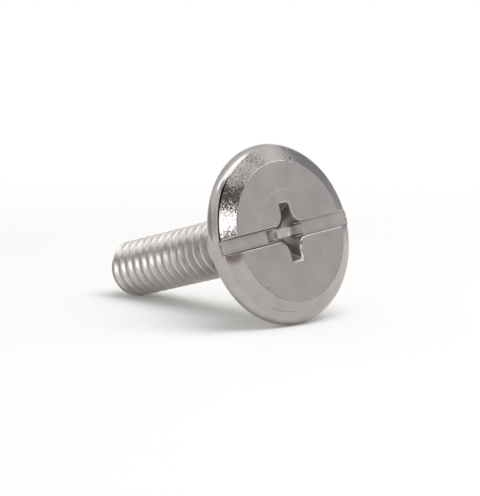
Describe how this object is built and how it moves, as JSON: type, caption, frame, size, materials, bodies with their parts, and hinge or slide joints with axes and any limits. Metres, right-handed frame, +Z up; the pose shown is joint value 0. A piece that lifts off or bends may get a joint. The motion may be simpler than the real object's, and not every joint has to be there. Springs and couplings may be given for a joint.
{
  "type": "hurricane bolt",
  "caption": "Fully threaded machine bolt with a wide, thin, bevelled flat head that takes a flat blade or a cross-point driver, for fixing storm shutter panels.",
  "frame": {"origin": "on the surface the bolt lies on, under the middle of its bounding box", "axes": "+Z up, +Y from the head towards the threaded end, drive face towards -Y and tilted up as the rim and the last thread rest on the surface"},
  "size_m": [0.019, 0.0294, 0.0185],
  "materials": {
    "stainless_steel": "plain stainless steel: satin turned bevel and flat pressed face, rolled thread"
  },
  "bodies": {
    "root": {"bolt": "stainless_steel"}
  },
  "joints": []
}
